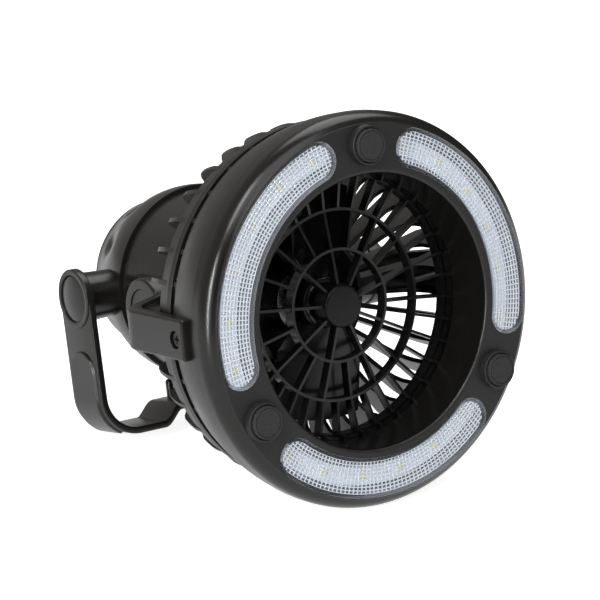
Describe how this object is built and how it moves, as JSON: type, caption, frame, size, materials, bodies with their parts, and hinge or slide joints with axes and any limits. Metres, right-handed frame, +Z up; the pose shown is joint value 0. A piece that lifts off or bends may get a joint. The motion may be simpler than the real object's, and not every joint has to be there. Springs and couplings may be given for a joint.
{
  "type": "portable camping fan",
  "caption": "Camping fan with a ring light round its ducted impeller, tilting on a battery drum whose twist-off rear cap carries a bail handle to stand, carry or hang it by.",
  "frame": {"origin": "centre of the bounding box in plan, on the floor it stands on", "axes": "+Z up, the fan blows towards -Y and tips up a little, +X is to the right seen from the front"},
  "size_m": [0.186, 0.2043, 0.1792],
  "materials": {
    "black_shell": "satin, fine grained",
    "black_guard": "semi-gloss",
    "black_rubber": "matt",
    "clear_lens": "clear, ribbed inside",
    "white_board": "matt white",
    "yellow_chip": "gloss",
    "black_screw": "black coated",
    "bare_steel": "bright",
    "cell_can": "plain sleeve",
    "contact_strip": "nickel plated",
    "green_board": "matt"
  },
  "bodies": {
    "drum": {"drum_body": "black_shell", "tilt_pivots": "bare_steel", "front_contact_disc": "black_shell", "front_contacts": "contact_strip", "cells": "cell_can", "switches": "black_guard", "switch_board": "green_board"},
    "head": {"front_bezel": "black_shell", "foot_pads": "black_rubber", "ring_rear_shell": "black_shell", "lens_right": "clear_lens", "lens_left": "clear_lens", "lens_bottom": "clear_lens", "light_board_right": "white_board", "light_board_left": "white_board", "light_board_bottom": "white_board", "light_chips": "yellow_chip", "front_guard": "black_guard", "guard_hub_cap": "black_guard", "rear_cage": "black_shell", "case_screws": "black_screw", "motor": "bare_steel", "side_arm_right": "black_shell", "side_arm_left": "black_shell", "side_arm_screws": "black_screw", "tilt_pivot_caps": "black_shell"},
    "rotor": {"motor_shaft": "bare_steel", "impeller": "black_guard"},
    "cap": {"rear_cap": "black_shell", "rear_contact_disc": "black_shell", "rear_contacts": "contact_strip", "handle_pivots": "bare_steel"},
    "bail": {"bail_handle": "black_shell", "handle_pivot_covers": "black_shell"},
    "fan_push": {"fan_button": "black_rubber"},
    "light_push": {"light_button": "black_rubber"}
  },
  "joints": [
    {"name": "head_tilt", "type": "hinge", "parent": "drum", "child": "head", "pos_m": [0, 0.00492, 0.07918], "axis": [1, 0, 0], "range_deg": [-35, 35]},
    {"name": "fan_spin", "type": "hinge", "parent": "head", "child": "rotor", "pos_m": [0, -0.06056, 0.08745], "axis": [0, 0.9921, -0.1253], "continuous": true},
    {"name": "cap_twist", "type": "hinge", "parent": "drum", "child": "cap", "pos_m": [0, 0.05651, 0.07266], "axis": [0, 0.9921, -0.1253], "range_deg": [0, 20]},
    {"name": "bail_swing", "type": "hinge", "parent": "cap", "child": "bail", "pos_m": [0, 0.0694, 0.07103], "axis": [1, 0, 0], "range_deg": [-14, 185]},
    {"name": "fan_press", "type": "slide", "parent": "drum", "child": "fan_push", "axis": [-0.7071, -0.0886, -0.7015], "range_m": [0, 0.0012], "stiffness_N_per_m": 600},
    {"name": "light_press", "type": "slide", "parent": "drum", "child": "light_push", "axis": [-0.7071, -0.0886, -0.7015], "range_m": [0, 0.0012], "stiffness_N_per_m": 600}
  ]
}
